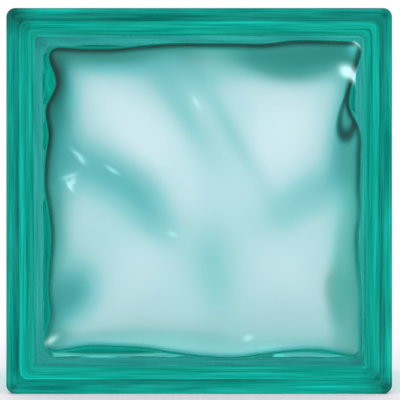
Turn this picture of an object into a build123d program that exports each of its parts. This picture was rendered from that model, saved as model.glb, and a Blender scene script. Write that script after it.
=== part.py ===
from build123d import *

import math
import os
from collections import namedtuple

# A hollow glass block of the 190 x 190 x 80 mm format, standing on one of its narrow sides.
# Frame: +X to the right of a viewer of the front face, +Y from the front face to the rear face,
# +Z up. The origin is the middle of the footprint. Sizes are in millimetres.
# One half is drawn in the frame of its press mould: the seam lies at height 0 and the face on top.

# Outside
FACE_SIZE = 190.0
BLOCK_DEPTH = 80.0
FACE_CORNER_R = 4.5
FACE_EDGE_R = 1.6

# The mortar groove that runs round the four narrow sides
RIM_EDGE = 6.0
RIM_SLOPE = 3.4
RIM_BACK_R = 1.0
GROOVE_DEPTH = 5.4
GROOVE_DRAFT = 4.0
GROOVE_ROOT_R = 2.4
GROOVE_CORNER_R = 3.6

# Inside
PLATE_THICKNESS = 7.0
SEAM_WALL = 4.2
SEAM_CORNER_R = 8.0
OPENING_INSET = 18.6
OPENING_CORNER_R = 5.0

# The round shoulder between the drafted walls and the plate. It has to stay well under half
# the corner radius, because it runs round the corners and follows every sway of the outline.
SHOULDER_R = 0.3 * OPENING_CORNER_R

# The seam where the two pressed halves were melted together squeezes out a low bead,
# on the outside and on the inside.
BEAD_WIDTH = 4.0
BEAD_STANDS = 0.8
BEAD_EDGE_R = 1.2

# The waves pressed into the inner face of each plate. A swell is a long soft mound of thicker
# glass, and a negative height is a hollow. Place, length and width are shares of half the
# opening, the tilt is in degrees from +X, and the height is in millimetres.
Swell = namedtuple("Swell", "across up length width tilt height")
SWELLS = (
    Swell(-0.53, 0.12, 0.62, 0.15, -38.0, 3.0),
    Swell(0.02, 0.50, 0.66, 0.14, -52.0, 2.0),
    Swell(0.66, 0.95, 0.36, 0.20, 4.0, 2.6),
    Swell(-0.84, -0.56, 0.20, 0.16, 60.0, 2.2),
    Swell(0.16, -0.52, 0.44, 0.13, -72.0, 1.4),
    Swell(0.98, -0.60, 0.40, 0.13, 86.0, 1.8),
    Swell(-0.34, -0.96, 0.60, 0.13, 2.0, 1.6),
    Swell(-0.50, 0.56, 0.52, 0.22, -46.0, -1.6),
    Swell(0.56, 0.50, 0.34, 0.28, 70.0, -1.8),
    Swell(-0.44, -0.42, 0.42, 0.24, -40.0, -1.3),
    Swell(0.62, -0.46, 0.36, 0.26, -50.0, -1.3),
)
WAVE_STATIONS = 41

# How far the waves carry each side of the opening inwards, at even stations. The stations go
# round the opening anticlockwise: up the right side, along the top, down the left, along the
# bottom. A side's first and last sway carry the corners at its ends along.
RIGHT_SWAY = (-4.6, -4.6, -4.4, -3.0, -2.4, -4.0, -3.4, -3.6, -3.6, 3.0, 0.6, -4.4)
TOP_SWAY = (-2.6, -3.2, -3.2, -1.2, -1.4, -1.4, -1.4, -0.2, 1.6, 1.8, 1.0)
LEFT_SWAY = (2.8, 7.0, 1.0, 2.8, 0.8, 0.4, 2.8, 4.2, 3.4, 2.6, 4.0, 0.4)
BOTTOM_SWAY = (3.2, 6.2, 6.2, 5.0, 2.2, -0.2, -1.0, 1.0, 3.2, 3.4, 0.2)
SIDE_STATIONS = 12
CORNER_STATIONS = 4

HALF_FACE = FACE_SIZE / 2
HALF_DEPTH = BLOCK_DEPTH / 2
RIM_LOW = HALF_DEPTH - RIM_EDGE
WAIST_TOP = RIM_LOW - RIM_SLOPE
GROOVE_HALF = HALF_FACE - GROOVE_DEPTH
WAIST_HALF = GROOVE_HALF - GROOVE_DRAFT
SEAM_HALF = WAIST_HALF - SEAM_WALL
OPENING_HALF = HALF_FACE - OPENING_INSET
PLATE_BACK = HALF_DEPTH - PLATE_THICKNESS


def square(half, corner_r, height):
    """A rounded square at a height above the seam."""
    return Plane.XY.offset(height) * RectangleRounded(2 * half, 2 * half, corner_r)


def edges_at(form, height):
    """All the edges of a form that lie flat at one height."""
    return form.edges().filter_by_position(Axis.Z, height - 0.01, height + 0.01)


def outer_form():
    """The outside of one half: a plate with a rim, and a narrower waist down to the seam."""
    rim = extrude(square(HALF_FACE, FACE_CORNER_R, RIM_LOW), RIM_EDGE)
    slope = loft(
        [
            square(GROOVE_HALF, GROOVE_CORNER_R, WAIST_TOP),
            square(HALF_FACE, FACE_CORNER_R, RIM_LOW),
        ]
    )
    waist = loft(
        [
            square(WAIST_HALF, GROOVE_CORNER_R, 0),
            square(GROOVE_HALF, GROOVE_CORNER_R, WAIST_TOP),
        ]
    )
    form = rim + slope + waist
    form = fillet(edges_at(form, WAIST_TOP), GROOVE_ROOT_R)
    form = fillet(edges_at(form, RIM_LOW), RIM_BACK_R)
    return fillet(edges_at(form, HALF_DEPTH), FACE_EDGE_R)


def relief(x, y):
    """The thickness that the waves add to the plate at a point of the half's own frame."""
    total = 0.0
    for swell in SWELLS:
        dx = x - swell.across * OPENING_HALF
        dy = y - swell.up * OPENING_HALF
        tilt = math.radians(swell.tilt)
        along = (dx * math.cos(tilt) + dy * math.sin(tilt)) / (swell.length * OPENING_HALF)
        beside = (dy * math.cos(tilt) - dx * math.sin(tilt)) / (swell.width * OPENING_HALF)
        total += swell.height * math.exp(-(along**2) - beside**2)
    return total


def wave_face():
    """The waved inner face of a plate, wider than the opening all round."""
    last = WAVE_STATIONS - 1
    steps = [HALF_FACE * (2 * i / last - 1) for i in range(WAVE_STATIONS)]
    rows = [[Vector(x, y, PLATE_BACK - relief(x, y)) for x in steps] for y in steps]
    return Face.make_surface_from_array_of_points(rows, tol=0.02, min_deg=3, max_deg=3)


def sway_at(sway, share):
    """The inward sway at a share of a side's length, on a soft curve through its stations."""
    place = share * (len(sway) - 1)
    i = min(int(place), len(sway) - 2)
    t = place - i
    before = sway[max(i - 1, 0)]
    start, end = sway[i], sway[i + 1]
    after = sway[min(i + 2, len(sway) - 1)]
    curve = 2 * start + (end - before) * t
    curve += (2 * before - 5 * start + 4 * end - after) * t**2
    curve += (3 * start - before - 3 * end + after) * t**3
    return curve / 2


def opening_outline(half, corner_r, height, sways):
    """A closed soft curve round the hollow, one side and one corner after the other."""
    flat = half - corner_r
    points = []
    for side, sway in enumerate(sways):
        turn = 90 * side
        start = sways[side - 1][-1] - flat
        end = flat - sways[(side + 1) % 4][0]
        for i in range(SIDE_STATIONS + 1):
            share = i / SIDE_STATIONS
            along = start + (end - start) * share
            point = Vector(half - sway_at(sway, share), along, height)
            points.append(point.rotate(Axis.Z, turn))
        for i in range(1, CORNER_STATIONS):
            angle = math.radians(90 * i / CORNER_STATIONS)
            reach = Vector(math.cos(angle), math.sin(angle)) * corner_r
            point = Vector(flat - sway[-1], end, height) + reach
            points.append(point.rotate(Axis.Z, turn))
    return Wire([Edge.make_spline(points, periodic=True)])


def half_hollow():
    """The hollow of one half: drafted walls, a round shoulder and the waved plate."""
    straight = [(0.0, 0.0)] * 4
    swayed = [RIGHT_SWAY, TOP_SWAY, LEFT_SWAY, BOTTOM_SWAY]
    walls = Solid.make_loft(
        [
            opening_outline(SEAM_HALF, SEAM_CORNER_R, 0, straight),
            opening_outline(OPENING_HALF, OPENING_CORNER_R, HALF_DEPTH, swayed),
        ]
    )
    cut = walls.split(wave_face(), keep=Keep.BOTH)
    below = sorted(cut, key=lambda solid: solid.center().Z)[0]
    rims = [edge for edge in below.edges() if edge.bounding_box().min.Z > PLATE_BACK / 2]
    return fillet(rims, SHOULDER_R) - inner_bead()


def inner_bead():
    """Half of the bead inside the hollow: a ring whose upper inner edge is rounded."""
    top = BEAD_WIDTH / 2
    inside = SEAM_HALF - BEAD_STANDS
    past = 2 * BEAD_STANDS
    ring = square(inside + past, SEAM_CORNER_R + BEAD_STANDS, 0)
    ring -= square(inside, SEAM_CORNER_R - BEAD_STANDS, 0)
    ring = extrude(ring, top)
    upper = ring.faces().sort_by(Axis.Z)[-1]
    return fillet(upper.inner_wires()[0].edges(), BEAD_EDGE_R)


def outer_bead():
    """The bead on the outside: a band with both its edges rounded."""
    low = -BEAD_WIDTH / 2
    half = WAIST_HALF + BEAD_STANDS
    band = extrude(square(half, GROOVE_CORNER_R + BEAD_STANDS, low), BEAD_WIDTH)
    return fillet(edges_at(band, low) + edges_at(band, -low), BEAD_EDGE_R)


def placed(half, facing):
    """A half set upright in the block: the front one faces -Y, the rear one +Y, upside down."""
    out = (0, -1, 0) if facing == "front" else (0, 1, 0)
    return Plane(origin=(0, 0, HALF_FACE), x_dir=(1, 0, 0), z_dir=out) * half


def both(half):
    """The same pressing used twice, face to face, melted into one."""
    return placed(half, "front") + placed(half, "rear")


def glass_block():
    """Both halves and the bead of their seam, with the sealed hollow taken out."""
    block = both(outer_form()) + placed(outer_bead(), "front")
    return block - both(half_hollow())


if __name__ == "__main__":
    os.makedirs("parts", exist_ok=True)
    block = glass_block()
    print("glass_block:", block.is_valid, round(block.volume), "mm3", block.bounding_box())
    export_step(block, "parts/glass_block.step")
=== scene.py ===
# %% [markdown]
# # A hollow glass block, built as a lesson
#
# A glass block is two square dishes of pressed glass, melted together face to face around a
# sealed hollow. The outer faces are flat, the narrow sides carry a turquoise coat, and the
# insides of the two plates are pressed in soft waves. The block could be built as two plain
# boxes with a glass shader, but then it would look like an ice cube: what makes it a glass
# block is how light runs through walls, shoulders and waves of real thickness. So the packed
# CAD part gives the place and the size, and one closed skin of glass is built around it here.
#
# Everything is in metres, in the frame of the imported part: +X to the right, +Y from the front
# face to the rear face, +Z up.

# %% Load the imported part
import math

import bmesh
import bpy
import numpy as np
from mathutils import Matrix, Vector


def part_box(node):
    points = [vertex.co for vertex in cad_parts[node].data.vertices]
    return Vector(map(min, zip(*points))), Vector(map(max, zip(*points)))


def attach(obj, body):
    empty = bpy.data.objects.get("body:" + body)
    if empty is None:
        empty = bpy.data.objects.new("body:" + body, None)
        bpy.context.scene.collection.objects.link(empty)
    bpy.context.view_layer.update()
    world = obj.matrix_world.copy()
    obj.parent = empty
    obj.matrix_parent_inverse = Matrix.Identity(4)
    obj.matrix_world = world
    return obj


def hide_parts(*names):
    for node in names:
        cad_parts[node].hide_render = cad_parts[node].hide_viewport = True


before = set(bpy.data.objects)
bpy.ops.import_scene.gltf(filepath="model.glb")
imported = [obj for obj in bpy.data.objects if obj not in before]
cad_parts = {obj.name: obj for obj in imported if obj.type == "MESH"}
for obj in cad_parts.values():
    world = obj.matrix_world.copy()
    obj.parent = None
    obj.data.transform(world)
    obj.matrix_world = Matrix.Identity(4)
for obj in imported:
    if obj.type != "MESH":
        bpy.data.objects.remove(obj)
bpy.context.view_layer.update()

low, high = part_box("glass_block")
FACE_SIZE = high[0] - low[0]
BLOCK_DEPTH = high[1] - low[1]
print("The packed block measures", round(FACE_SIZE, 4), "by", round(BLOCK_DEPTH, 4), "m")

# %% [markdown]
# ## The sizes of one pressed half
#
# Both halves come out of the same mould, so one half is described once, lying in its own frame:
# across, up, and a height that is 0 at the seam and greatest at the face. Guessing sizes by eye
# in the viewport would work too, but named sizes can be read, changed and checked.

# %% Sizes of the half
MM = 0.001
HALF_FACE = FACE_SIZE / 2
HALF_DEPTH = BLOCK_DEPTH / 2
FACE_CORNER_R = 4.5 * MM
FACE_EDGE_R = 1.6 * MM
RIM_EDGE = 6.0 * MM
RIM_SLOPE = 3.4 * MM
RIM_BACK_R = 1.0 * MM
GROOVE_DEPTH = 5.4 * MM
GROOVE_DRAFT = 4.0 * MM
GROOVE_ROOT_R = 2.4 * MM
GROOVE_CORNER_R = 3.6 * MM
SEAM_WALL = 4.2 * MM
SEAM_CORNER_R = 8.0 * MM
OPENING_INSET = 18.6 * MM
OPENING_CORNER_R = 5.0 * MM
SHOULDER_R = 1.5 * MM
PLATE_THICKNESS = 7.0 * MM
BEAD_HALF_WIDTH = 2.0 * MM
BEAD_STANDS = 0.8 * MM
BEAD_ROUND = 0.6

RIM_LOW = HALF_DEPTH - RIM_EDGE
WAIST_TOP = RIM_LOW - RIM_SLOPE
GROOVE_HALF = HALF_FACE - GROOVE_DEPTH
WAIST_HALF = GROOVE_HALF - GROOVE_DRAFT
SEAM_HALF = WAIST_HALF - SEAM_WALL
OPENING_HALF = HALF_FACE - OPENING_INSET
PLATE_BACK = HALF_DEPTH - PLATE_THICKNESS
print("One half is", round(HALF_DEPTH / MM, 1), "mm deep")

# %% [markdown]
# ## The waves
#
# The inner side of each plate is pressed into long soft swells and hollows. They could be
# sculpted by hand or made with a noise texture, but a short list of mounds is easier to aim:
# each has a place, a length, a width, a tilt and a height, and they simply add up. A swell is
# thick glass and a negative height is a hollow. Places, lengths and widths are shares of half
# the opening, the tilt is in degrees and the height in millimetres.

# %% The waves of the plate
SWELLS = (
    (-0.53, 0.12, 0.62, 0.15, -38.0, 3.0),
    (0.02, 0.50, 0.66, 0.14, -52.0, 2.0),
    (0.66, 0.95, 0.36, 0.20, 4.0, 2.6),
    (-0.84, -0.56, 0.20, 0.16, 60.0, 2.2),
    (0.16, -0.52, 0.44, 0.13, -72.0, 1.4),
    (0.98, -0.60, 0.40, 0.13, 86.0, 1.8),
    (-0.34, -0.96, 0.60, 0.13, 2.0, 1.6),
    (-0.50, 0.56, 0.52, 0.22, -46.0, -1.6),
    (0.56, 0.50, 0.34, 0.28, 70.0, -1.8),
    (-0.44, -0.42, 0.42, 0.24, -40.0, -1.3),
    (0.62, -0.46, 0.36, 0.26, -50.0, -1.3),
)


def along_and_beside(x, y, across, up, length, width, tilt):
    """How far along and beside a mound points lie, as shares of its length and width."""
    dx = x - across * OPENING_HALF
    dy = y - up * OPENING_HALF
    turn = math.radians(tilt)
    along = (dx * math.cos(turn) + dy * math.sin(turn)) / (length * OPENING_HALF)
    beside = (dy * math.cos(turn) - dx * math.sin(turn)) / (width * OPENING_HALF)
    return along, beside


def mound(x, y, *outline, height):
    """A long soft mound at points of the half's own frame."""
    along, beside = along_and_beside(x, y, *outline)
    return height * np.exp(-(along**2) - beside**2)


def mounds(x, y, rows):
    """All the mounds of a list added up."""
    total = np.zeros_like(x)
    for *outline, height in rows:
        total += mound(x, y, *outline, height=height)
    return total


def relief(x, y):
    """How much thicker the waves make the plate at points of the half's own frame."""
    return mounds(x, y, SWELLS) * MM


print("The waves are", len(SWELLS), "swells and hollows")

# %% [markdown]
# ## Where the colour gathers
#
# In the real block the waves bend in colour from the coated sides, so the middle shows soft
# turquoise bands between pale windows. Light bent like that is slow and grainy to render. It is
# steadier to lay the bands down as colour, in pools described by the same six numbers as a
# swell. The last number says how deep the colour is, and a negative pool is a clear window.
# Pools that lie along the four sides are painted shade: they darken the edge of the plate.

# %% The pools of colour
PALE_DEPTH = 0.16
POOLS = (
    (-0.66, 0.20, 0.38, 0.15, -25.0, 0.78),
    (-0.33, -0.08, 0.26, 0.11, -48.0, 0.42),
    (-0.11, 0.58, 0.30, 0.08, -58.0, 0.30),
    (0.21, 0.45, 0.50, 0.06, -60.0, 0.22),
    (-0.10, 0.88, 0.24, 0.17, 0.0, 0.50),
    (0.60, 0.91, 0.36, 0.12, 0.0, 1.15),
    (-0.70, 0.96, 0.40, 0.12, 0.0, 0.86),
    (-0.83, -0.61, 0.18, 0.14, 60.0, 1.08),
    (0.74, 0.06, 0.34, 0.13, 35.0, 0.50),
    (0.91, 0.36, 0.26, 0.08, 85.0, 0.68),
    (0.10, -0.50, 0.35, 0.14, -82.0, 0.25),
    (-0.42, 0.46, 0.45, 0.20, -42.0, -0.22),
    (-0.12, 0.08, 0.22, 0.12, -60.0, -0.18),
    (0.55, 0.50, 0.34, 0.20, 75.0, -0.26),
    (-0.42, -0.86, 0.30, 0.08, 0.0, -0.16),
    (0.34, 0.74, 0.16, 0.10, 0.0, -0.14),
    (0.85, -0.58, 0.20, 0.06, 90.0, -0.14),
    (-1.00, 0.58, 0.44, 0.11, 90.0, 1.35),
    (-0.94, 0.77, 0.14, 0.070, 85.0, 3.00),
    (-0.86, 0.68, 0.18, 0.10, 80.0, 0.50),
    (-0.86, 0.36, 0.34, 0.09, 90.0, 0.30),
    (-0.96, -0.20, 0.50, 0.10, 90.0, 0.50),
    (-1.00, -0.80, 0.30, 0.10, 90.0, 0.40),
    (1.03, -0.30, 0.70, 0.08, 90.0, 0.25),
    (0.94, 0.98, 0.22, 0.09, 0.0, 0.90),
    (0.28, 1.03, 0.34, 0.05, 0.0, 0.60),
    (1.04, 0.60, 0.50, 0.08, 90.0, 0.30),
    (0.975, 0.600, 0.14, 0.030, 82.0, 1.10),
    (0.02, 0.95, 0.12, 0.07, 0.0, -0.30),
    (0.34, 0.94, 0.12, 0.07, 0.0, 0.30),
)
print("The colour lies in", len(POOLS), "pools")

# %% [markdown]
# ## The painted drop line and the glints
#
# At the upper right the waves bend the light into a small drop-shaped loop, and the dark line
# round it is painted shade. The line is drawn where the distance from the drop's edge is small,
# and the drop is an ellipse that narrows towards one end. Bending the light through a modelled
# drop would need a much finer mesh for the same few millimetres. Glints are painted highlights:
# short thin mounds again, with their brightness as the last number.

# %% The painted drop line and the glints
DROP_SHADE_WIDTH = 0.043
DROP_SHADE_OUTLINE = (0.972, 0.600, 0.178, DROP_SHADE_WIDTH, 82.0)
DROP_SHADE_DEPTH = 4.2
DROP_SHADE_POINT = 0.6
DROP_SHADE_NARROWEST = 0.2
DROP_SHADE_LINE = 0.7 * MM
GLINTS = (
    (0.962, 0.840, 0.048, 0.034, -32.0, 1.3),
    (1.008, 0.803, 0.032, 0.022, -45.0, 1.0),
    (1.037, 1.039, 0.040, 0.026, -50.0, 1.2),
    (-0.786, 0.298, 0.055, 0.011, -38.0, 0.4),
    (-0.765, 0.262, 0.030, 0.010, -48.0, 0.4),
    (-0.824, 0.122, 0.030, 0.016, 60.0, 0.5),
    (-0.840, 0.160, 0.050, 0.011, 20.0, 0.4),
    (-0.842, 0.098, 0.040, 0.010, -58.0, 0.5),
    (-0.565, 0.200, 0.045, 0.011, -32.0, 0.4),
    (-0.176, -0.216, 0.030, 0.012, -20.0, 0.3),
    (0.317, -0.892, 0.030, 0.016, 20.0, 0.4),
    (-0.960, -0.905, 0.045, 0.018, 35.0, 0.6),
    (-0.020, 0.640, 0.045, 0.010, -60.0, 0.3),
)


def glint(x, y):
    """How brightly points of the plate shine."""
    return mounds(x, y, GLINTS)


def painted_drop_shade(x, y):
    """The painted dark line round the small drop-shaped loop at the upper right."""
    along, beside = along_and_beside(x, y, *DROP_SHADE_OUTLINE)
    narrowing = np.maximum(1 - DROP_SHADE_POINT * along, DROP_SHADE_NARROWEST)
    past_line = np.hypot(along, beside / narrowing) - 1
    return DROP_SHADE_DEPTH * np.exp(-((past_line * DROP_SHADE_WIDTH * OPENING_HALF / DROP_SHADE_LINE) ** 2))


def colour_depth(x, y):
    """How deep the colour is at points of the plate."""
    return np.maximum(PALE_DEPTH + mounds(x, y, POOLS), 0) + painted_drop_shade(x, y)


print("The plate has one fold and", len(GLINTS), "glints")

# %% [markdown]
# ## The outline of the hollow
#
# Looking straight at the block, the edge of the hollow isn't a ruler line: the waves push it in
# and out. Each side has a few stations with the sway there, joined by a soft curve. A Bezier
# curve object would draw the outline as well, but a function that gives the sway at any share of
# a side is easier to measure and to stack into walls.

# %% The sways of the outline
RIGHT_SWAY = (-4.6, -4.6, -4.4, -3.0, -2.4, -4.0, -3.4, -3.6, -3.6, 3.0, 0.6, -4.4)
TOP_SWAY = (-2.6, -3.2, -3.2, -1.2, -1.4, -1.4, -1.4, -0.2, 1.6, 1.8, 1.0)
LEFT_SWAY = (2.8, 7.0, 1.0, 2.8, 0.8, 0.4, 2.8, 4.2, 3.4, 2.6, 4.0, 0.4)
BOTTOM_SWAY = (3.2, 6.2, 6.2, 5.0, 2.2, -0.2, -1.0, 1.0, 3.2, 3.4, 0.2)


def soft_curve(stations, shares):
    """Values at shares of the way along evenly spaced stations, by a Catmull-Rom curve."""
    values = np.array(stations) * MM
    place = shares * (len(values) - 1)
    i = np.minimum(place.astype(int), len(values) - 2)
    t = place - i
    before = values[np.maximum(i - 1, 0)]
    start = values[i]
    end = values[i + 1]
    after = values[np.minimum(i + 2, len(values) - 1)]
    curve = 2 * start + (end - before) * t
    curve = curve + (2 * before - 5 * start + 4 * end - after) * t**2
    curve = curve + (3 * start - before - 3 * end + after) * t**3
    return curve / 2


widest = max(RIGHT_SWAY + TOP_SWAY + LEFT_SWAY + BOTTOM_SWAY)
print("The outline sways inwards by up to", widest, "mm")

# %% [markdown]
# ## Rings of points
#
# A ring goes once round the hollow: a soft curve along each side and a small arc in each corner.
# Every ring of the inside has the same number of points, so that one ring can be sewn to the
# next with quads. A Boolean cut would make the hollow too, but it leaves ragged triangles along
# the outline, and glass shows every one of them.

# %% The outline of the hollow
SIDE_STEPS = 148
CORNER_STEPS = 12
STRAIGHT = ((0.0, 0.0),) * 4


def quarter_turns(x, y, turns):
    """Points turned by a number of quarter turns about the middle of the face."""
    for _ in range(turns):
        x, y = -y, x
    return np.stack([x, y], axis=1)


def ring(half, corner_r, sways=STRAIGHT, side_steps=SIDE_STEPS, corner_steps=CORNER_STEPS):
    """Points round a rounded square, anticlockwise from the lower end of its right side."""
    flat = half - corner_r
    shares = np.arange(side_steps) / side_steps
    angles = np.radians(90 * np.arange(corner_steps) / corner_steps)
    pieces = []
    for side, sway in enumerate(sways):
        start = sways[side - 1][-1] * MM - flat
        end = flat - sways[(side + 1) % 4][0] * MM
        along = start + (end - start) * shares
        pieces.append(quarter_turns(half - soft_curve(sway, shares), along, side))
        x = flat - sway[-1] * MM + corner_r * np.cos(angles)
        y = end + corner_r * np.sin(angles)
        pieces.append(quarter_turns(x, y, side))
    return np.concatenate(pieces)


def inward(points):
    """The direction into the hollow at each point of a ring."""
    run = np.roll(points, -1, axis=0) - np.roll(points, 1, axis=0)
    run /= np.linalg.norm(run, axis=1)[:, None]
    return np.stack([-run[:, 1], run[:, 0]], axis=1)


seam_ring = ring(SEAM_HALF, SEAM_CORNER_R)
tip_ring = ring(OPENING_HALF, OPENING_CORNER_R, (RIGHT_SWAY, TOP_SWAY, LEFT_SWAY, BOTTOM_SWAY))
RING_POINTS = len(seam_ring)
print("Each ring of the inside has", RING_POINTS, "points")

# %% [markdown]
# ## The drafted walls
#
# The plunger of the press leaves walls that lean a little, so that it can be drawn out again.
# They run straight from the outline at the seam to the outline at the tip of the plunger. Where
# they meet the waved plate depends on the waves there, and the waves depend on the place, so
# the meeting height is found by going back and forth a few times.

# %% Where the walls meet the plate
def with_height(points, heights):
    """Ring points with a height each."""
    return np.column_stack([points, np.broadcast_to(heights, len(points))])


def wall_at(heights):
    """Points of the drafted wall, at one height for each point of the ring."""
    heights = np.broadcast_to(heights, RING_POINTS)
    share = (heights / HALF_DEPTH)[:, None]
    return with_height(seam_ring * (1 - share) + tip_ring * share, heights)


MEETING_ROUNDS = 6
meets = np.full(RING_POINTS, PLATE_BACK)
for _ in range(MEETING_ROUNDS):
    corner = wall_at(meets)
    meets = PLATE_BACK - relief(corner[:, 0], corner[:, 1])
corner = wall_at(meets)
lowest, highest = meets.min() / MM, meets.max() / MM
print("The walls meet the plate", round(lowest, 1), "to", round(highest, 1), "mm above the seam")

# %% [markdown]
# ## The round shoulder
#
# The edge of the plunger is rounded, so the wall turns into the plate through a small shoulder.
# The Bevel modifier could round it, but it leaves a few flat strips that show as steps when
# light is bent through them. A Bezier arc of many rings stays smooth enough to look through.

# %% The rings of the inside
BEAD_ROWS = 5
WALL_ROWS = 5
SHOULDER_ROWS = 12

draft = math.atan((SEAM_HALF - OPENING_HALF) / HALF_DEPTH)
turn = math.pi / 2 - draft
reach = SHOULDER_R * math.tan(turn / 2)
pull = 4 / 3 * math.tan(turn / 4) / math.tan(turn / 2)
wall_end = wall_at(meets - reach * math.cos(draft))
plate_xy = corner[:, :2] + inward(corner[:, :2]) * reach
plate_end = with_height(plate_xy, PLATE_BACK - relief(plate_xy[:, 0], plate_xy[:, 1]))

bead_rows = []
for k in range(BEAD_ROWS):
    angle = math.pi / 2 * k / BEAD_ROWS
    row = wall_at(BEAD_HALF_WIDTH * math.sin(angle))
    row[:, :2] += inward(row[:, :2]) * BEAD_STANDS * math.cos(angle) ** BEAD_ROUND
    bead_rows.append(row)

bead_top = wall_at(BEAD_HALF_WIDTH)
wall_shares = [k / WALL_ROWS for k in range(WALL_ROWS)]
wall_rows = [bead_top * (1 - share) + wall_end * share for share in wall_shares]

wall_pull = wall_end + (corner - wall_end) * pull
plate_pull = plate_end + (corner - plate_end) * pull
shoulder_shares = [k / SHOULDER_ROWS for k in range(SHOULDER_ROWS + 1)]
shoulder_rows = []
for t in shoulder_shares:
    row = wall_end * (1 - t) ** 3 + wall_pull * 3 * t * (1 - t) ** 2
    shoulder_rows.append(row + plate_pull * 3 * t**2 * (1 - t) + plate_end * t**3)
inside_rows = bead_rows + wall_rows + shoulder_rows
print("The inside has", len(inside_rows), "rings from the seam to the plate")

# %% [markdown]
# ## The dark line of the shoulder
#
# The sharp turn of the shoulder bends light so far that it shows as a thin dark line round the
# hollow. Bent light alone leaves it faint in a room as evenly lit as this one, so the rings of
# the shoulder carry a depth of colour too: none on the wall, and then the plate's own depth and
# the line's. The line is darkest above and fades towards the bottom, where the floor throws
# light up into the glass.

# %% The depth of colour on the rings
LINE_UP = (-1.0, -0.6, 0.0, 0.6, 1.0)
LINE_DEPTHS = (0.7, 1.1, 2.8, 4.4, 4.0)
LINE_START = 0.35
LINE_FADE = 2.1
LINE_EDGE = 1.5
HALO_SHARE = 0.25
HALO_FADE = 2.6


def line_depth(up):
    """How deep the colour of the line is at heights from the middle."""
    return np.interp(up / OPENING_HALF, LINE_UP, LINE_DEPTHS)


beside_plate = colour_depth(plate_xy[:, 0], plate_xy[:, 1])
ring_depths = [np.zeros(RING_POINTS) for _ in bead_rows + wall_rows]
for t in shoulder_shares:
    rise = min(1, t / LINE_START)
    ring_depths.append((beside_plate + line_depth(plate_xy[:, 1])) * rise)
print("The deepest colour on the shoulder is", round(max(d.max() for d in ring_depths), 2))

# %% [markdown]
# ## The waved plate
#
# Inside the shoulder lies the plate. Filling the ring with one big polygon would leave nothing
# to bend into waves, so a grid follows its four sides. It is called a Coons patch: each point
# is blended from the four sides and then lifted to the height of the waves.

# %% The grid of the plate
def coons_grid(edge):
    """A square grid of plan points inside a ring whose sides start in the middle of a corner."""
    count = len(edge) // 4
    turned = np.roll(edge, -(SIDE_STEPS + CORNER_STEPS // 2), axis=0)
    closed = np.concatenate([turned, turned[:1]])
    top = closed[: count + 1][::-1]
    left = closed[count : 2 * count + 1][::-1]
    bottom = closed[2 * count : 3 * count + 1]
    right = closed[3 * count : 4 * count + 1]
    s = np.linspace(0, 1, count + 1)[None, :, None]
    t = np.linspace(0, 1, count + 1)[:, None, None]
    ruled = bottom[None] * (1 - t) + top[None] * t
    ruled = ruled + left[:, None] * (1 - s) + right[:, None] * s
    ends = bottom[0] * (1 - s) * (1 - t) + bottom[-1] * s * (1 - t)
    return ruled - ends - top[0] * (1 - s) * t - top[-1] * s * t


plate_grid = coons_grid(plate_xy)
PLATE_STEPS = plate_grid.shape[0]
plan = plate_grid.reshape(-1, 2)
plate_points = with_height(plan, PLATE_BACK - relief(plan[:, 0], plan[:, 1]))
steps_in = np.minimum(np.arange(PLATE_STEPS), np.arange(PLATE_STEPS)[::-1])
steps_in = np.minimum(steps_in[:, None], steps_in[None, :]).reshape(-1)
# The dark line of the shoulder runs on into the plate, with a soft halo inside it: painted shade.
line = np.exp(-((steps_in / LINE_FADE) ** LINE_EDGE))
halo = HALO_SHARE * np.exp(-steps_in / HALO_FADE)
edge_line = (line + halo) * line_depth(plan[:, 1])
plate_depths = colour_depth(plan[:, 0], plan[:, 1]) + edge_line
print("The plate is a grid of", PLATE_STEPS, "by", PLATE_STEPS, "points")

# %% [markdown]
# ## The outside of one half
#
# The outside is one profile carried round a rounded square: the rounded edge of the face, the
# rim, the slope into the mortar groove, the waist and the bead at the seam. Sharp edges would
# look cut, not pressed, so each knee of the profile is rounded by a short arc. The Bevel
# modifier could round them later, but the arcs keep the sizes exact.

# %% Arcs of the profile
ARC_STEPS = 6


def arc_between(start, knee, end):
    """A soft arc of profile points from start to end that heads for the knee."""
    points = []
    for k in range(ARC_STEPS + 1):
        t = k / ARC_STEPS
        weights = ((1 - t) ** 2, 2 * t * (1 - t), t**2)
        points.append([sum(w * v for w, v in zip(weights, trio)) for trio in zip(start, knee, end)])
    return points


def toward(start, end, distance):
    """The profile point a distance from start on the way to end."""
    share = distance / math.hypot(end[0] - start[0], end[1] - start[1])
    return [a + (b - a) * share for a, b in zip(start, end)]


def rounded(before, knee, after, pull_back):
    """The arc that rounds a knee, starting and ending some way from it."""
    return arc_between(toward(knee, before, pull_back), knee, toward(knee, after, pull_back))


print("Each knee of the profile is an arc of", ARC_STEPS, "steps")

# %% [markdown]
# ## The profile, line by line
#
# Each line of the profile gives how far out it stands, its height and its corner radius, and
# becomes a ring. The Screw modifier would carry a profile round a circle only. The profile has
# two parts, because the face stays clear and the narrow side is coated.

# %% The profile of the outside
OUTSIDE_SIDE_STEPS = 4
OUTSIDE_CORNER_STEPS = 12
ROOT_PULL = 0.7

face_start = (HALF_FACE - FACE_EDGE_R, HALF_DEPTH, FACE_CORNER_R - FACE_EDGE_R)
face_knee = (HALF_FACE, HALF_DEPTH, FACE_CORNER_R)
rim_knee = (HALF_FACE, RIM_LOW, FACE_CORNER_R)
root_knee = (GROOVE_HALF, WAIST_TOP, GROOVE_CORNER_R)
seam_foot = (WAIST_HALF, 0.0, GROOVE_CORNER_R)
face_profile = arc_between(face_start, face_knee, toward(face_knee, rim_knee, FACE_EDGE_R))
side_profile = face_profile[-1:]
side_profile += rounded(face_knee, rim_knee, root_knee, RIM_BACK_R)
side_profile += rounded(rim_knee, root_knee, seam_foot, GROOVE_ROOT_R * ROOT_PULL)
for k in range(ARC_STEPS + 1):
    angle = math.pi / 2 * k / ARC_STEPS
    stands = BEAD_STANDS * math.sin(angle) ** BEAD_ROUND
    height = BEAD_HALF_WIDTH * math.cos(angle)
    side_profile.append((WAIST_HALF + stands, height, GROOVE_CORNER_R + stands))


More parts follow.
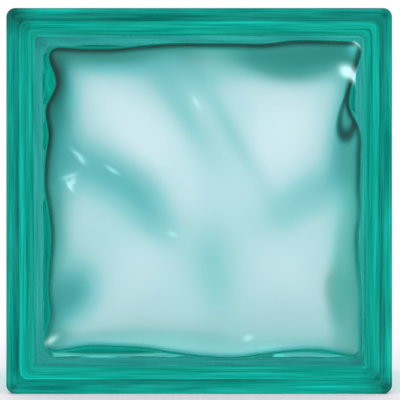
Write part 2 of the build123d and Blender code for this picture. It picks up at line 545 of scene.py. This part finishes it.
def outside_rings(profile):
    """A ring for each line of the profile, from the seam towards the face."""
    rings = []
    for half, height, corner_r in profile[::-1]:
        plain = ring(half, corner_r, STRAIGHT, OUTSIDE_SIDE_STEPS, OUTSIDE_CORNER_STEPS)
        rings.append(with_height(plain, height))
    return rings


side_rows = outside_rings(side_profile)
face_rows = outside_rings(face_profile)
print("The outside has", len(side_rows) + len(face_rows), "rings")

# %% [markdown]
# ## Two halves, face to face
#
# The rear half is the same pressing turned upside down, so its waves cross those of the front
# half. A Mirror modifier can't turn a half over like this and still share the seam, so both
# halves are written out as points.

# %% Set the halves upright
def front(points):
    """Points of the half's own frame, set in the front half of the block."""
    return np.stack([points[:, 0], -points[:, 2], HALF_FACE + points[:, 1]], axis=1)


def rear(points):
    """The same points, set in the rear half."""
    return np.stack([points[:, 0], points[:, 2], HALF_FACE - points[:, 1]], axis=1)


between = rear(plate_points)[:, 1].min() - front(plate_points)[:, 1].max()
print("The plates come within", round(between / MM, 1), "mm of each other")

# %% [markdown]
# ## Sewing the glass
#
# Rings are sewn into faces with quads, and the two halves share their seam points. The hollow
# is a second closed skin inside the first. Its faces look into the hollow, away from the glass,
# because a renderer reads from the direction of each face on which side the glass is.

# %% The needle and the thread
GLASS = 0
COAT = 1
bm = bmesh.new()
depth_layer = bm.verts.layers.float.new("colour_depth")
glint_layer = bm.verts.layers.float.new("glint")


def knot(points, depths, glints=0.0):
    """Vertices at points, each with its depth of colour and its glint."""
    made = [bm.verts.new(point) for point in points]
    depths = np.broadcast_to(depths, len(made))
    glints = np.broadcast_to(glints, len(made))
    for vertex, depth, shine in zip(made, depths, glints):
        vertex[depth_layer] = depth
        vertex[glint_layer] = shine
    return made


def stitch(corners, material, turned):
    """One face between vertices."""
    face = bm.faces.new(corners[::-1] if turned else corners)
    face.material_index = material
    face.smooth = True


def sew(rows, place, depths, material, turned=False):
    """Quads between rings, and the last ring's vertices."""
    before = None
    for row, depth in zip(rows, depths):
        shine = glint(row[:, 0], row[:, 1]) if turned and place is front else 0.0
        now = knot(place(row), depth, shine)
        if before:
            for i in range(len(now)):
                stitch([before[i - 1], before[i], now[i], now[i - 1]], material, turned)
        before = now
    return before


print("Glass faces use slot", GLASS, "and coated faces slot", COAT)

# %% [markdown]
# ## The two skins
#
# Only the front half carries the pools of colour and the glints. The rear half has the waves
# alone, and the flat faces are clear. Two separate objects would be easier to sew, but the light
# needs one closed body of glass without a gap at the seam, so doubled points are merged.

# %% Sew the two skins
NO_DEPTHS = [0.0] * len(inside_rows)
SAME_POINT = 0.002 * MM
for place, depths, plate_depth in ((front, ring_depths, plate_depths), (rear, NO_DEPTHS, 0.0)):
    sew(side_rows, place, [0.0] * len(side_rows), COAT)
    face_edge = sew(face_rows, place, [0.0] * len(face_rows), GLASS)
    stitch(face_edge, GLASS, False)
    sew(inside_rows, place, depths, GLASS, turned=True)
    shine = glint(plan[:, 0], plan[:, 1]) if place is front else 0.0
    knots = knot(place(plate_points), plate_depth, shine)
    for j in range(PLATE_STEPS - 1):
        for i in range(PLATE_STEPS - 1):
            a = j * PLATE_STEPS + i
            b = a + PLATE_STEPS
            stitch([knots[a], knots[a + 1], knots[b + 1], knots[b]], GLASS, True)
bmesh.ops.remove_doubles(bm, verts=bm.verts, dist=SAME_POINT)
open_edges = [edge for edge in bm.edges if not edge.is_manifold]
print("Open edges after sewing:", len(open_edges))

glass_mesh = bpy.data.meshes.new("pressed_glass")
bm.to_mesh(glass_mesh)
bm.free()
pressed_glass = bpy.data.objects.new("pressed_glass", glass_mesh)
bpy.context.scene.collection.objects.link(pressed_glass)
print("The glass has", sum(len(p.vertices) - 2 for p in glass_mesh.polygons), "triangles")

# %% [markdown]
# ## Flat faces that look flat
#
# With smooth shading, the rounded edge of the face would bend the shading of the flat face too,
# and the flat glass would act as a lens. The Weighted Normal modifier lets the largest face at
# each point decide, and a vertex group keeps it to the outside.

# %% Weigh the outside's normals
JUST_INSIDE = WAIST_HALF - 0.1 * MM
LARGEST_FACE_FIRST = 100

outside = pressed_glass.vertex_groups.new(name="outside")
outside_points = []
for vertex in glass_mesh.vertices:
    reach_out = max(abs(vertex.co.x), abs(vertex.co.z - HALF_FACE))
    if reach_out > JUST_INSIDE:
        outside_points.append(vertex.index)
outside.add(outside_points, 1.0, "REPLACE")
weighted = pressed_glass.modifiers.new("flat faces first", "WEIGHTED_NORMAL")
weighted.weight = LARGEST_FACE_FIRST
weighted.vertex_group = "outside"
print(len(outside_points), "points of the outside have weighed normals")

# %% [markdown]
# ## Tools for finishes
#
# A finish is a small network of nodes, and it could be drawn by hand in the Shader Editor. The
# same few nodes come back in every finish here, so each gets a short helper. That keeps the
# finishes below short enough to read as recipes: this colour, times those streaks, and so on.

# %% Materials, ramps and sums
SPARE_STOP = 0.5


def new_material(name):
    """A node material with its node tree and its Principled shader."""
    material = bpy.data.materials.new(name)
    material.use_nodes = True
    return material, material.node_tree, material.node_tree.nodes["Principled BSDF"]


def feed(tree, value, socket):
    """A link into a socket from another socket, or a plain value set on it."""
    if isinstance(value, bpy.types.NodeSocket):
        tree.links.new(value, socket)
    else:
        socket.default_value = value


def colour_ramp(tree, stops):
    """A colour ramp with a stop at each place."""
    ramp = tree.nodes.new("ShaderNodeValToRGB")
    while len(ramp.color_ramp.elements) < len(stops):
        ramp.color_ramp.elements.new(SPARE_STOP)
    for element, (place, colour) in zip(ramp.color_ramp.elements, stops):
        element.position = place
        element.color = [*colour, 1]
    return ramp


def grey_ramp(tree, stops):
    """The same with shades of grey."""
    return colour_ramp(tree, [(place, [grey] * 3) for place, grey in stops])


def maths(tree, operation, first, second=0.0):
    """A maths node on one or two values, each a socket or a number."""
    node = tree.nodes.new("ShaderNodeMath")
    node.operation = operation
    feed(tree, first, node.inputs[0])
    feed(tree, second, node.inputs[1])
    return node.outputs[0]


print("Five tools for finishes are ready")

# %% [markdown]
# ## Ranges and mixtures
#
# Most of a finish comes from two questions: how far from here to there is this point, and which
# mixture of two colours belongs there? The Map Range node answers the first and the Mix node
# the second. Separate shaders could be mixed instead, but one shader that is fed with mixed
# colours renders faster and can be baked.

# %% Ranges and mixtures
def spread(tree, source, start, end, at_start, at_end, steps="LINEAR"):
    """One range of values carried over to another."""
    node = tree.nodes.new("ShaderNodeMapRange")
    node.interpolation_type = steps
    tree.links.new(source, node.inputs["Value"])
    node.inputs["From Min"].default_value = start
    node.inputs["From Max"].default_value = end
    node.inputs["To Min"].default_value = at_start
    node.inputs["To Max"].default_value = at_end
    return node.outputs["Result"]


def blended(tree, factor, first, second, blend="MIX"):
    """A colour mixed out of two, each a socket or a colour, by a socket or number."""
    node = tree.nodes.new("ShaderNodeMix")
    node.data_type = "RGBA"
    node.blend_type = blend
    for name, value in (("Factor", factor), ("A", first), ("B", second)):
        feed(tree, value, node.inputs[name])
    return node.outputs["Result"]


def multiplied(tree, first, second):
    """The product of two colours."""
    return blended(tree, 1.0, first, second, "MULTIPLY")


print("Three tools for ranges and mixtures are ready")

# %% [markdown]
# ## Noise and bumps
#
# Streaks, blotches and grain are all noise. Painted image textures would do as well, but noise
# never repeats, needs no unwrapping and stays sharp at any distance. It runs from 0 to 1, but it
# seldom leaves the middle of that range, so only the middle is stretched. The same noise can
# tilt the normals, which makes a streak stand out as well as look dark.

# %% Noise and bumps
NOISE_LOW = 0.3
NOISE_HIGH = 0.7


def noise(tree, place, scale=1.0, detail=3.0, rough=0.5):
    """Fractal noise at places."""
    node = tree.nodes.new("ShaderNodeTexNoise")
    tree.links.new(place, node.inputs["Vector"])
    node.inputs["Scale"].default_value = scale
    node.inputs["Detail"].default_value = detail
    node.inputs["Roughness"].default_value = rough
    return node.outputs["Fac"]


def noise_spread(tree, source, at_low, at_high):
    """Noise stretched over a range of values."""
    return spread(tree, source, NOISE_LOW, NOISE_HIGH, at_low, at_high)


def bumped(tree, height, strength, distance):
    """Normals tilted by a height."""
    node = tree.nodes.new("ShaderNodeBump")
    tree.links.new(height, node.inputs["Height"])
    node.inputs["Strength"].default_value = strength
    node.inputs["Distance"].default_value = distance
    return node.outputs["Normal"]


print("Noise is stretched from", NOISE_LOW, "to", NOISE_HIGH)

# %% [markdown]
# ## Places on the block
#
# A finish of this block changes with the depth into the block, with the height, and with the
# distance from the nearest narrow side. These are worked out once per material from the place
# in the block's own frame. For streaks, the place is squeezed along one direction only, which
# stretches the noise along the other.

# %% Where a point of the finish lies
def places(tree):
    """The place, its x, y and height from the middle, and the larger and smaller way out."""
    place = tree.nodes.new("ShaderNodeTexCoord").outputs["Object"]
    axes = tree.nodes.new("ShaderNodeSeparateXYZ")
    tree.links.new(place, axes.inputs[0])
    up = maths(tree, "SUBTRACT", axes.outputs["Z"], HALF_FACE)
    side = maths(tree, "ABSOLUTE", axes.outputs["X"])
    rise = maths(tree, "ABSOLUTE", up)
    far = maths(tree, "MAXIMUM", side, rise)
    near = maths(tree, "MINIMUM", side, rise)
    return place, axes.outputs["X"], axes.outputs["Y"], up, far, near


def along_sides(tree, depth, depth_scale, x, up, length_scale):
    """Places stretched along the four sides, for streaks that run round the block."""
    joined = tree.nodes.new("ShaderNodeCombineXYZ")
    scaled = ((depth, depth_scale), (x, length_scale), (up, length_scale))
    for socket, (value, scale) in zip(joined.inputs, scaled):
        tree.links.new(maths(tree, "MULTIPLY", value, scale), socket)
    return joined.outputs[0]


print("The middle of the face is", round(HALF_FACE / MM, 1), "mm up")

# %% [markdown]
# ## The tinted glass
#
# The glass itself is tinted: the further light runs through it, the deeper its colour. A
# coloured glass surface would tint thick and thin glass alike, so the tint is Volume Absorption
# behind the surface. It makes the walls turquoise and leaves the plates pale, with no extra
# work.

# %% The glass
GLASS_IOR = 1.52
TINT_COLOUR = (0.12, 0.74, 0.70, 1)
TINT_DENSITY = 46.0

tinted_glass, tree, shader = new_material("tinted_glass")
shader.inputs["IOR"].default_value = GLASS_IOR
shader.inputs["Transmission Weight"].default_value = 1.0
tint = tree.nodes.new("ShaderNodeVolumeAbsorption")
tint.inputs["Color"].default_value = TINT_COLOUR
tint.inputs["Density"].default_value = TINT_DENSITY
tree.links.new(tint.outputs["Volume"], tree.nodes["Material Output"].inputs["Volume"])
place, x, y, up, far, near = places(tree)
through = math.exp(-TINT_DENSITY * BLOCK_DEPTH * (1 - TINT_COLOUR[1]))
print("A wall as deep as the block lets", round(through, 2), "of the green light through")

# %% [markdown]
# ## The pools of colour on the glass
#
# The depths stored on the mesh go through a ramp from clear to deep turquoise. Glass colours
# the light once for each thickness it crosses, so the stops of the ramp are powers of one
# colour: twice the depth is the square of the colour, as in real glass.

# %% The ramp of the pools
POOL_COLOUR = (0.22, 0.63, 0.615)
DEEPEST = 6.0
RAMP_STOPS = 16

pooled = tree.nodes.new("ShaderNodeAttribute")
pooled.attribute_name = "colour_depth"
share = maths(tree, "DIVIDE", pooled.outputs["Fac"], DEEPEST)
pool_stops = []
for k in range(RAMP_STOPS):
    stop = k / (RAMP_STOPS - 1)
    pool_stops.append((stop, [channel ** (2 * DEEPEST * stop) for channel in POOL_COLOUR]))
pool_ramp = colour_ramp(tree, pool_stops)
tree.links.new(share, pool_ramp.inputs["Fac"])
print("The ramp of the pools has", RAMP_STOPS, "stops")

# %% [markdown]
# ## The streaks of the border
#
# Over the thick walls the face is painted with a darker border and fine streaks along each
# side. The darker border is painted shade: it stands for the coated walls seen bent through the
# glass, on top of the real tint. Noise that is squeezed across the side and stretched along it
# gives the streaks, and as the distance is measured from the nearest side, the streaks meet in a
# mitre at the corners. A short fade starts the border where the walls begin.

# %% The border of the glass
BORDER_START = 77.5 * MM
BORDER_FADE = 1.5 * MM
BORDER_COLOUR = (0.55, 1.0, 0.98, 1)
STREAKS_ACROSS = 800.0
STREAKS_ALONG = 22.0
STREAK_ROUGH = 0.6
DULL_STREAK = 0.68
CLEAR_STREAK = 1.12

streak_place = along_sides(tree, far, STREAKS_ACROSS, x, up, STREAKS_ALONG)
streak_noise = noise(tree, streak_place, rough=STREAK_ROUGH)
streaks = noise_spread(tree, streak_noise, DULL_STREAK, CLEAR_STREAK)
at_border = spread(tree, far, BORDER_START, BORDER_START + BORDER_FADE, 0.0, 1.0)
print("The border starts", round(BORDER_START / MM, 1), "mm from the middle")

# %% [markdown]
# ## The corners of the border
#
# The corners of the border are darkened with painted shade. Where the smaller of the two
# distances from the middle is large as well, a point lies in a corner, and a little noise added
# to that distance makes the edge of the shade ragged. Two opposite corners are painted darker
# than the others. Across times up is negative in just those two, so it tells them apart without
# a mask of their own.

# %% The painted shade in the corners
CORNER_DARK_SCALE = 260.0
CORNER_DARK_DETAIL = 4.0
CORNER_DARK_REACH = 10 * MM
CORNER_DARK_FROM = 90 * MM
CORNER_DARK_TO = 96 * MM
CORNER_DARK_SHADE = 0.55
CORNER_DARK_MORE = 5 * MM
CORNER_DARK_LESS = 3 * MM
SHADED_CORNERS_SPAN = (50 * MM) ** 2
CLEAR = (1, 1, 1, 1)

# Painted shade: the corners of the border darken, with a ragged edge from noise.
corner_dark_edge = maths(tree, "MULTIPLY", noise(tree, place, CORNER_DARK_SCALE, CORNER_DARK_DETAIL), CORNER_DARK_REACH)
which_corner = maths(tree, "MULTIPLY", x, up)
more = spread(tree, which_corner, -SHADED_CORNERS_SPAN, SHADED_CORNERS_SPAN, CORNER_DARK_MORE, -CORNER_DARK_LESS)
in_corner = maths(tree, "ADD", near, maths(tree, "ADD", corner_dark_edge, more))
corner_shade = spread(tree, in_corner, CORNER_DARK_FROM, CORNER_DARK_TO, 1.0, CORNER_DARK_SHADE)
# The darker border and its darker corners are painted shade.
border_shade = multiplied(tree, streaks, corner_shade)
border_colour = multiplied(tree, border_shade, BORDER_COLOUR)
in_border = blended(tree, at_border, CLEAR, border_colour)
glass_colour = multiplied(tree, pool_ramp.outputs["Color"], in_border)
tree.links.new(glass_colour, shader.inputs["Base Color"])
print("A corner blotch lets", CORNER_DARK_SHADE, "of the light through")

# %% [markdown]
# ## The glints
#
# Where a crease of the plate turns sharply, it catches a lamp and shines, and so do the palest
# streaks of the border. Such a spark is a chance of the light in the room, and a scene with one
# even light has none. They could be made with many small lamps, but each lamp would have to be
# aimed. Here the sparks stored on the mesh, and the streaks, give off a little light.

# %% The glints of the glass
GLINT_COLOUR = (0.85, 0.88, 0.95)
PALE_STREAK = (0.010, 0.085, 0.070, 1)
PALE_FROM = 0.40
PALE_TO = 0.70
DARK = (0, 0, 0, 1)

shining = tree.nodes.new("ShaderNodeAttribute")
shining.attribute_name = "glint"
shine_ramp = colour_ramp(tree, ((0.0, (0.0, 0.0, 0.0)), (1.0, GLINT_COLOUR)))
tree.links.new(shining.outputs["Fac"], shine_ramp.inputs["Fac"])
pale = spread(tree, streak_noise, PALE_FROM, PALE_TO, 0.0, 1.0)
pale = maths(tree, "MULTIPLY", pale, at_border)
streak_light = blended(tree, pale, DARK, PALE_STREAK)
shine = blended(tree, 1.0, shine_ramp.outputs["Color"], streak_light, "ADD")
tree.links.new(shine, shader.inputs["Emission Color"])
shader.inputs["Emission Strength"].default_value = 1.0
print(len(GLINTS), "glints shine on the plate")

# %% [markdown]
# ## Polish and ripples
#
# The flat faces are polished by the flame, but the waved side of the front plate keeps the
# faint grain of the mould. That grain is what blurs the far half into soft clouds of colour.
# So the roughness depends on the depth into the block, and it grows a little towards the sides,
# where the glass left the mould last. It stays above 0.27 on the whole plate. The denoiser
# takes smoother glass for a window and rougher glass for a surface, and a grain that crosses
# that value leaves a faint straight frame in the picture. A very low ripple lies over all the
# glass, as even a flat pressed face is never quite flat.

# %% How smooth the glass is
POLISH = ((0.000, 0.0), (0.020, 0.0), (0.030, 1.0), (0.150, 1.0), (0.200, 0.0), (1.000, 0.0))
MIDDLE_ROUGH = 0.28
EDGE_ROUGH = 0.34
EDGE_POLISH = (44 * MM, 74 * MM)
RIPPLE_SCALE = 70.0
RIPPLE_DETAIL = 2.0
RIPPLE_HIGH = 0.2 * MM
RIPPLE_STRENGTH = 0.15

into_block = maths(tree, "ADD", y, HALF_DEPTH)
polish = grey_ramp(tree, POLISH)
tree.links.new(maths(tree, "DIVIDE", into_block, BLOCK_DEPTH), polish.inputs["Fac"])
grain = spread(tree, far, *EDGE_POLISH, MIDDLE_ROUGH, EDGE_ROUGH, "SMOOTHERSTEP")
roughness = maths(tree, "MULTIPLY", polish.outputs["Color"], grain)
tree.links.new(roughness, shader.inputs["Roughness"])
ripple = noise(tree, place, RIPPLE_SCALE, RIPPLE_DETAIL)
tree.links.new(bumped(tree, ripple, RIPPLE_STRENGTH, RIPPLE_HIGH), shader.inputs["Normal"])
print("The grain of the front plate goes from", MIDDLE_ROUGH, "to", EDGE_ROUGH)

# %% [markdown]
# ## The tone of the turquoise coat
#
# The narrow sides are sprayed. Seen from outside the coat is a satin paint, and seen through
# the glass it is what gives the whole border its colour. One shade of grey carries all its
# light and dark. It starts with bands that change with the distance from the seam: they are
# painted shade, darker in the root of the groove and at the edge of the face, where these turns
# look dark through the glass. On the underside the bands sit a little nearer the seam. Bands
# could be painted face by face, but a ramp puts them exactly where they are wanted.

# %% The bands of the coat
COAT_BANDS = (
    (0.00, 1.00),
    (0.45, 0.95),
    (0.66, 1.06),
    (0.72, 0.95),
    (0.755, 0.46),
    (0.79, 0.52),
    (0.85, 0.80),
    (0.93, 0.84),
    (1.00, 0.46),
)
BELOW_AT = (-84 * MM, -88 * MM)
BELOW_SHIFT = 0.045

turquoise_coat, tree, shader = new_material("turquoise_coat")
place, x, y, up, _, near = places(tree)
bands = grey_ramp(tree, COAT_BANDS)
from_seam = maths(tree, "DIVIDE", maths(tree, "ABSOLUTE", y), HALF_DEPTH)
below_shift = spread(tree, up, *BELOW_AT, 0.0, BELOW_SHIFT)
tree.links.new(maths(tree, "ADD", from_seam, below_shift), bands.inputs["Fac"])
print("The coat changes through", len(COAT_BANDS), "bands from the seam to the face")

# %% [markdown]
# ## The strokes of the spray gun
#
# Fine strokes run round the block, as the spray gun did, and painted shade darkens the corners.
# They could be painted by hand, but noise gives all four sides at once: one coarse and one fine
# for the strokes, and one for the ragged edge of the shade in the corners.

# %% The strokes and corners of the coat
STROKES = ((140.0, 14.0), (900.0, 20.0))
FAINT_STROKE = 0.7
BRIGHT_STROKE = 1.3
CORNER_SHADE_SCALE = 400.0
CORNER_SHADE_REACH = 8 * MM
CORNER_SHADE_LESS = 2.5 * MM
CORNER_FROM = 91 * MM
CORNER_TO = 96 * MM
CORNER_SHADE = 0.4

tone = bands.outputs["Color"]
for fineness, length in STROKES:
    stroke_place = along_sides(tree, y, fineness, x, up, length)
    strokes = noise(tree, stroke_place, rough=STREAK_ROUGH)
    stroke_tone = noise_spread(tree, strokes, FAINT_STROKE, BRIGHT_STROKE)
    tone = multiplied(tree, tone, stroke_tone)
# Painted shade in the corners of the coat, with a ragged edge from noise.
corner_shade_edge = noise(tree, place, CORNER_SHADE_SCALE)
corner_shade_edge = maths(tree, "MULTIPLY", corner_shade_edge, CORNER_SHADE_REACH)
which_corner = maths(tree, "MULTIPLY", x, up)
less = spread(tree, which_corner, 0.0, SHADED_CORNERS_SPAN, 0.0, -CORNER_SHADE_LESS)
ragged = maths(tree, "ADD", near, maths(tree, "ADD", corner_shade_edge, less))
corner_tone = spread(tree, ragged, CORNER_FROM, CORNER_TO, 1.0, CORNER_SHADE)
tone = multiplied(tree, tone, corner_tone)
print("The spray gun left", len(STROKES), "kinds of stroke")

# %% [markdown]
# ## The paint
#
# The tone times one turquoise is the paint. It has no clear shine, so its mirror reflection is
# switched off, and the finest strokes also roughen it and raise it a little, as dried spray
# does.

# %% The paint of the coat
COAT_PAINT = (0.002, 0.06, 0.05, 1)
SMOOTH_PAINT = 0.42
ROUGH_PAINT = 0.62
PAINT_HIGH = 0.1 * MM
PAINT_STRENGTH = 0.4

tree.links.new(multiplied(tree, tone, COAT_PAINT), shader.inputs["Base Color"])
paint_rough = noise_spread(tree, strokes, SMOOTH_PAINT, ROUGH_PAINT)
tree.links.new(paint_rough, shader.inputs["Roughness"])
tree.links.new(bumped(tree, strokes, PAINT_STRENGTH, PAINT_HIGH), shader.inputs["Normal"])
shader.inputs["Specular IOR Level"].default_value = 0.0
print("The paint's roughness goes from", SMOOTH_PAINT, "to", ROUGH_PAINT)

# %% [markdown]
# ## Daylight through the coat
#
# Real paint is thin enough for daylight to shine through it from behind. A translucent shader
# would do that, but the light would have to find its way into a closed glass body, which takes
# many samples. A weak glow of the same colour looks alike and stays clean. On the underside of
# the rear half the glow is stronger and paler: painted light, which makes the lower edge of the
# hollow the brightest.

# %% The glow of the coat
COAT_GLOW = (0.0, 1.0, 0.82, 1)
COAT_GLOW_STRENGTH = 0.49
UNDERSIDE_GLOW_COLOUR = (0.75, 0.90, 0.95)
UNDERSIDE_GLOW_STRENGTH = 2.5
UNDERSIDE_GLOW_FROM_SEAM = (2 * MM, 10 * MM)
UNDERSIDE_GLOW_BELOW = (-78 * MM, -84 * MM)
UNDERSIDE_GLOW_BETWEEN = (76 * MM, 82 * MM)

# Painted light: a stronger, paler glow on the underside of the rear half.
rear_half = spread(tree, y, *UNDERSIDE_GLOW_FROM_SEAM, 0.0, 1.0)
underside = spread(tree, up, *UNDERSIDE_GLOW_BELOW, 0.0, 1.0)
between_sides = spread(tree, maths(tree, "ABSOLUTE", x), *UNDERSIDE_GLOW_BETWEEN, 1.0, 0.0)
underside_glow_share = maths(tree, "MULTIPLY", rear_half, underside)
underside_glow_share = maths(tree, "MULTIPLY", underside_glow_share, between_sides)
underside_glow = [UNDERSIDE_GLOW_STRENGTH * channel for channel in UNDERSIDE_GLOW_COLOUR] + [1]
glow = blended(tree, underside_glow_share, COAT_GLOW, underside_glow)
tree.links.new(multiplied(tree, tone, glow), shader.inputs["Emission Color"])
shader.inputs["Emission Strength"].default_value = COAT_GLOW_STRENGTH
print("The coat glows with a strength of", COAT_GLOW_STRENGTH)

# %% [markdown]
# ## Handing the glass over
#
# The sewn glass stands in for the imported block, and it moves with the same body. It could be
# parented by hand; here the imported block is hidden and the glass is attached to the body's
# empty. Both materials glow a little, and the renderer would treat all their faces as lamps.
# Switching that off keeps the render quick and looks the same.

# %% Replace the imported block
for material in (tinted_glass, turquoise_coat):
    material.cycles.emission_sampling = "NONE"
    glass_mesh.materials.append(material)
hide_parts("glass_block")
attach(pressed_glass, "root")
print("Finishes:", [material.name for material in glass_mesh.materials])

# %% [markdown]
# ## Floor and backdrop
#
# A product photograph on white has no horizon. One sheet of pale paper lies on the floor and
# turns up into the backdrop in a wide curve, so that the glass shows the same soft white at
# every height. The sheet is kept out of mirror reflections, as a photographer keeps the table
# out of the shine with a black card.

# %% The sheet of paper
SHEET_WIDE = 2.5
SHEET_FRONT = -2.5
SHEET_BACK = 1.4
SHEET_TURN_R = 0.6
SHEET_HIGH = 3.0
TURN_STEPS = 24

sheet_line = [(SHEET_FRONT, 0.0)]
for k in range(TURN_STEPS + 1):
    angle = math.pi / 2 * k / TURN_STEPS
    y = SHEET_BACK - SHEET_TURN_R + SHEET_TURN_R * math.sin(angle)
    sheet_line.append((y, SHEET_TURN_R - SHEET_TURN_R * math.cos(angle)))
sheet_line.append((SHEET_BACK, SHEET_HIGH))

bm = bmesh.new()
edges = []
for y, z in sheet_line:
    edges.append([bm.verts.new((-SHEET_WIDE, y, z)), bm.verts.new((SHEET_WIDE, y, z))])
for (a, b), (c, d) in zip(edges, edges[1:]):
    bm.faces.new([a, b, d, c]).smooth = True
sheet_mesh = bpy.data.meshes.new("paper_sheet")
bm.to_mesh(sheet_mesh)
bm.free()
paper_sheet = bpy.data.objects.new("paper_sheet", sheet_mesh)
bpy.context.scene.collection.objects.link(paper_sheet)
paper_sheet.visible_glossy = False
print("The sheet rises to", SHEET_HIGH, "m behind the block")

# %% [markdown]
# ## The finish of the paper
#
# Studio paper is matt and almost white, with a faint cloud of fibres. One plain colour would do
# from afar, but up close its fibres are what makes it paper. Noise makes them slightly
# lighter, rougher and higher than the ground.

# %% The finish of the paper
PAPER_DARK = (0.83, 0.87, 0.85, 1)
PAPER_LIGHT = (0.86, 0.90, 0.88, 1)
SMOOTH_PAPER = 0.75
ROUGH_PAPER = 0.85
FIBRE_SCALE = 180.0
FIBRE_DETAIL = 4.0
FIBRE_STRENGTH = 0.2
FIBRE_HIGH = 0.1 * MM

pale_paper, tree, shader = new_material("pale_paper")
place = tree.nodes.new("ShaderNodeTexCoord").outputs["Object"]
fibres = noise(tree, place, FIBRE_SCALE, FIBRE_DETAIL)
paper_colour = blended(tree, fibres, PAPER_DARK, PAPER_LIGHT)
tree.links.new(paper_colour, shader.inputs["Base Color"])
paper_rough = noise_spread(tree, fibres, SMOOTH_PAPER, ROUGH_PAPER)
tree.links.new(paper_rough, shader.inputs["Roughness"])
tree.links.new(bumped(tree, fibres, FIBRE_STRENGTH, FIBRE_HIGH), shader.inputs["Normal"])
shader.inputs["Specular IOR Level"].default_value = 0.0
sheet_mesh.materials.append(pale_paper)
print("The paper's roughness goes from", SMOOTH_PAPER, "to", ROUGH_PAPER)

# %% [markdown]
# ## The white room
#
# The light is an even white room. A flat glass face turned to the camera would mirror that room
# and wash the colour out, so mirror reflections see a much dimmer one, as they would in a
# studio where only the set is lit. Lamps on both sides could avoid the mirror image too, but
# they would leave hard shadows in the glass. A ray that was bent through frosted glass counts
# as a mirror ray as well, so the rays that came through glass are taken off again.

# %% The room
ROOM_LIGHT = 1.34
ROOM_IN_MIRRORS = 0.06
ROOM_COLOUR = (1.0, 0.89, 0.985, 1)

world = bpy.data.worlds.new("white_room")
bpy.context.scene.world = world
world.use_nodes = True
tree = world.node_tree
room = tree.nodes["Background"]
room.inputs["Color"].default_value = ROOM_COLOUR
ray = tree.nodes.new("ShaderNodeLightPath").outputs
mirrored = maths(tree, "SUBTRACT", ray["Is Glossy Ray"], ray["Is Transmission Ray"])
dimmer = tree.nodes.new("ShaderNodeMix")
dimmer.inputs["A"].default_value = ROOM_LIGHT
dimmer.inputs["B"].default_value = ROOM_IN_MIRRORS
tree.links.new(mirrored, dimmer.inputs["Factor"])
tree.links.new(dimmer.outputs["Result"], room.inputs["Strength"])
print("Room light", ROOM_LIGHT, "and in mirrors", ROOM_IN_MIRRORS)

# %% [markdown]
# ## The camera
#
# The block is seen straight on, with its front face filling the picture. A lens much longer
# than this would show the walls of the hollow as thin lines, so the camera stands about half a
# metre away, where the rear opening shows inside the front one.

# %% The camera
CAMERA_AWAY = 0.5
SENSOR = 36.0
LENS = 91.6
AIM_X = 0.4 * MM
AIM_Z = HALF_FACE + 0.4 * MM
camera_data = bpy.data.cameras.new("camera")
camera_data.sensor_width = SENSOR
camera_data.lens = LENS
camera = bpy.data.objects.new("camera", camera_data)
camera.location = (AIM_X, -HALF_DEPTH - CAMERA_AWAY, AIM_Z)
camera.rotation_euler = (math.radians(90), 0, 0)
bpy.context.scene.collection.objects.link(camera)
bpy.context.scene.camera = camera
print("The camera stands", CAMERA_AWAY, "m in front of the face")

# %% [markdown]
# ## The renderer's patience with glass
#
# Light crosses four surfaces on the straight way through a glass block, and much of it bounces
# many times inside a wall. With the usual limit of twelve bounces those paths would end black.

# %% Bounces and colours
settings = bpy.context.scene.cycles
settings.max_bounces = 32
settings.transmission_bounces = 32
settings.glossy_bounces = 16
settings.diffuse_bounces = 6
bpy.context.scene.view_settings.view_transform = "Standard"
print("Light may bounce", settings.max_bounces, "times")
